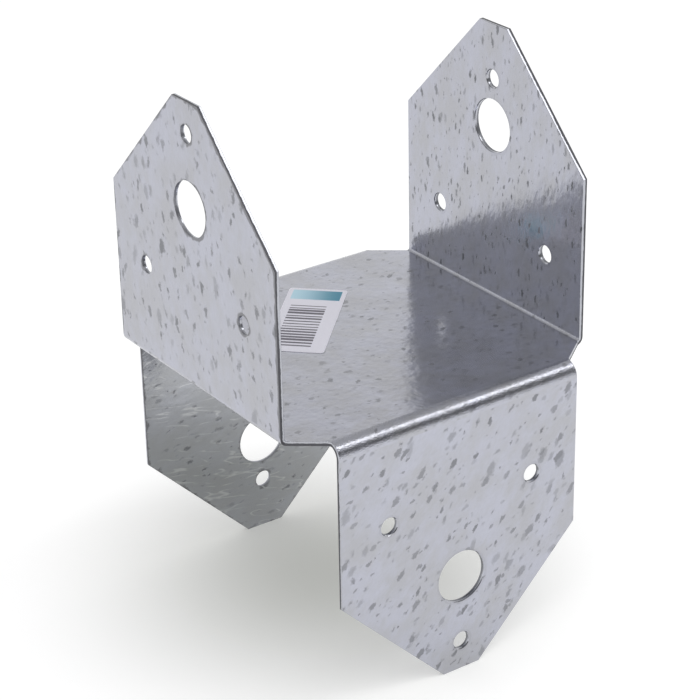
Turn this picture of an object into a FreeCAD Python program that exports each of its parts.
import FreeCAD, Part
import math
import os

from FreeCAD import Placement, Rotation, Vector

# A folded sheet-steel column cap: a square plate with two flanges folded up to straddle a beam
# and two folded down to straddle the column below it, all one piece of sheet.
# Frame: origin at the centre of the plate's underside, where the column's end bears;
# +Z up to the beam, X across the beam, Y along it. All sizes in millimetres.

# Sheet and the inside radii of its folds: the upper pair is creased, the lower pair bent round
sheet = 1.2
beam_fold_radius = 0.8
column_fold_radius = 2.8

# Clear widths between the flanges: the upper pair holds the beam, the lower pair the column
beam_width = 90.5
column_width = 90.5

# Flange outline: straight sides, then 45 degree clips up to a short flat tip.
# Every rise is measured from the face of the plate that the flange stands on.
beam_flange_length = 73.0
column_flange_length = 73.0
flange_rise = 75.0
tip_width = 11.2

# How far the cut across each corner of the blank runs past the start of the bends,
# and the radius that joins it to the flanges' sides
corner_run_in = 0.5
notch_radius = 1.2

# What the punch leaves on the upper side of the blank: the outline's edge rolled over,
# and the rim of every hole broken at 45 degrees
edge_roll = 0.2
hole_break = 0.2

# Bolt hole, in line on the two flanges of a pair
bolt_hole_diameter = 14.3
bolt_rise = 47.6

# Nail holes: two low ones side by side and one in the tip. On the second flange of a pair
# they sit nearer the plate, so that nails driven from both sides miss each other.
nail_hole_diameter = 4.8
nail_spacing = 44.4
low_nail_rise = 25.4
tip_nail_from_tip = 8.3
nail_stagger = 6.35

OUT = "parts"


def fold_edges(half_width, corner_radius, foot, top):
    """One side of the folded strip in the XZ plane: down one flange, along the plate, up the other."""
    flat = half_width - corner_radius
    corner_mid = corner_radius * math.sqrt(0.5)
    bend_z = foot + corner_radius
    left = [Vector(-half_width, 0, top), Vector(-half_width, 0, bend_z)]
    left_mid = Vector(-flat - corner_mid, 0, bend_z - corner_mid)
    floor = [Vector(-flat, 0, foot), Vector(flat, 0, foot)]
    right_mid = Vector(flat + corner_mid, 0, bend_z - corner_mid)
    right = [Vector(half_width, 0, bend_z), Vector(half_width, 0, top)]
    return [
        Part.LineSegment(*left).toShape(),
        Part.Arc(left[1], left_mid, floor[0]).toShape(),
        Part.LineSegment(*floor).toShape(),
        Part.Arc(floor[1], right_mid, right[0]).toShape(),
        Part.LineSegment(*right).toShape(),
    ]


def prism(points, direction):
    """A closed polygon pushed along a direction, half of it to each side."""
    face = Part.Face(Part.makePolygon(points + points[:1]))
    face.translate(direction * -0.5)
    return face.extrude(direction)


def gable(reach, span):
    """The flanges' clipped outline seen along X, wide enough at its foot to pass the plate whole."""
    tip_z = sheet + flange_rise
    eaves_z = tip_z - (reach - tip_width / 2)
    half = [Vector(0, reach, -sheet), Vector(0, reach, eaves_z), Vector(0, tip_width / 2, tip_z)]
    other_half = [Vector(0, -p.y, p.z) for p in reversed(half)]
    return prism(half + other_half, Vector(span, 0, 0))


def drill(diameter, start_x, depth, y, rise):
    """A round punch along +X at a rise above the plate's top."""
    return Part.makeCylinder(diameter / 2, depth, Vector(start_x, y, sheet + rise), Vector(1, 0, 0))


def flange_drills(inside_width):
    """Punches for one pair of flanges: the shared bolt hole, then each flange's own nail holes."""
    outside_width = inside_width + 2 * sheet
    drills = [drill(bolt_hole_diameter, -outside_width, 2 * outside_width, 0, bolt_rise)]
    nails = [
        (-nail_spacing / 2, low_nail_rise),
        (nail_spacing / 2, low_nail_rise),
        (0, flange_rise - tip_nail_from_tip),
    ]
    for side, lowered in ((-1, 0), (1, nail_stagger)):
        middle_x = side * (inside_width + sheet) / 2
        for y, rise in nails:
            drills.append(drill(nail_hole_diameter, middle_x - sheet, 2 * sheet, y, rise - lowered))
    return drills


def folded_strip(inside_width, fold_radius, plate_run):
    """A strip folded up at both ends, its flanges clipped and punched."""
    half = inside_width / 2
    top = sheet + flange_rise
    inner = fold_edges(half, fold_radius, sheet, top)
    outer = fold_edges(half + sheet, fold_radius + sheet, 0, top)
    ends = [
        Part.LineSegment(Vector(side * half, 0, top), Vector(side * (half + sheet), 0, top)).toShape()
        for side in (-1, 1)
    ]
    profile = Part.Face(Part.Wire(Part.__sortEdges__(inner + outer + ends)))
    profile.translate(Vector(0, -plate_run / 2, 0))
    strip = profile.extrude(Vector(0, plate_run, 0))
    strip = strip.common(gable(plate_run / 2 + sheet, 2 * (inside_width + 2 * sheet)))
    return strip.cut(flange_drills(inside_width))


def plan_trim():
    """The cap's outline from above, pushed tall: a cross of two flange lengths, its corners cut across."""
    reach = beam_width + column_width
    beam_cut = beam_width / 2 - beam_fold_radius + corner_run_in
    column_cut = column_width / 2 - column_fold_radius + corner_run_in
    quarter = [
        Vector(reach, beam_flange_length / 2, 0),
        Vector(beam_cut, beam_flange_length / 2, 0),
        Vector(column_flange_length / 2, column_cut, 0),
        Vector(column_flange_length / 2, reach, 0),
    ]
    outline = list(quarter)
    outline += [Vector(-p.x, p.y, 0) for p in reversed(quarter)]
    outline += [Vector(-p.x, -p.y, 0) for p in quarter]
    outline += [Vector(p.x, -p.y, 0) for p in reversed(quarter)]
    trim = prism(outline, Vector(0, 0, 4 * (sheet + flange_rise)))
    upright = [e for e in trim.Edges if e.BoundBox.ZLength > 1]
    notches = [e for e in upright if max(abs(e.CenterOfMass.x), abs(e.CenterOfMass.y)) < reach / 2]
    return trim.makeFillet(notch_radius, notches)


def normal_at(face, point):
    """The face's outward normal at a point on it."""
    u, v = face.Surface.parameter(point)
    return face.normalAt(u, v)


def smooth_between(face, other):
    """True where two faces share an edge and run on smoothly across it, as plate and bend do."""
    for edge in face.Edges:
        if any(edge.isSame(e) for e in other.Edges):
            middle = edge.valueAt((edge.FirstParameter + edge.LastParameter) / 2)
            return normal_at(face, middle).isEqual(normal_at(other, middle), 1e-4)
    return False


def upper_side(cap):
    """Every face of the sheet's upper side, followed from the plate's top over the bends."""
    plate_top = [f for f in cap.Faces if abs(f.BoundBox.ZMin - sheet) + abs(f.BoundBox.ZMax - sheet) < 1e-6]
    side = plate_top[:1]
    for face in side:
        side += [f for f in cap.Faces if not any(f.isSame(s) for s in side) and smooth_between(face, f)]
    return side


def cut_rim(faces):
    """The edges where these faces end at a cut: those that only one of them has."""
    edges = [e for f in faces for e in f.Edges]
    return [e for e in edges if sum(e.isSame(other) for other in edges) == 1]


def eased(cap):
    """The cap with its upper side's hole rims broken and its outline rolled."""
    holes = [e for e in cut_rim(upper_side(cap)) if e.Closed]
    cap = cap.makeChamfer(hole_break, holes)
    outline = [e for e in cut_rim(upper_side(cap)) if not e.Closed]
    return cap.makeFillet(edge_roll, outline)


def folded_cap():
    """The whole cap: the beam's strip, and the column's strip turned over and across it."""
    beam_run = beam_width - 2 * beam_fold_radius
    column_run = column_width - 2 * column_fold_radius
    beam_strip = folded_strip(beam_width, beam_fold_radius, column_run)
    column_strip = folded_strip(column_width, column_fold_radius, beam_run)
    middle = Vector(0, 0, sheet / 2)
    turned_over = Placement(Vector(), Rotation(Vector(1, 0, 0), 180), middle)
    turned_across = Placement(Vector(), Rotation(Vector(0, 0, 1), 90))
    column_strip.Placement = turned_across * turned_over
    cap = beam_strip.fuse(column_strip).common(plan_trim()).removeSplitter().Solids[0]
    return eased(cap)


os.makedirs(OUT, exist_ok=True)
cap = folded_cap()
assert len(cap.Solids) == 1 and cap.isValid()
cap.Solids[0].exportStep(os.path.join(OUT, "folded_cap.step"))
print("folded_cap volume", round(cap.Volume, 2), "faces", len(cap.Faces))
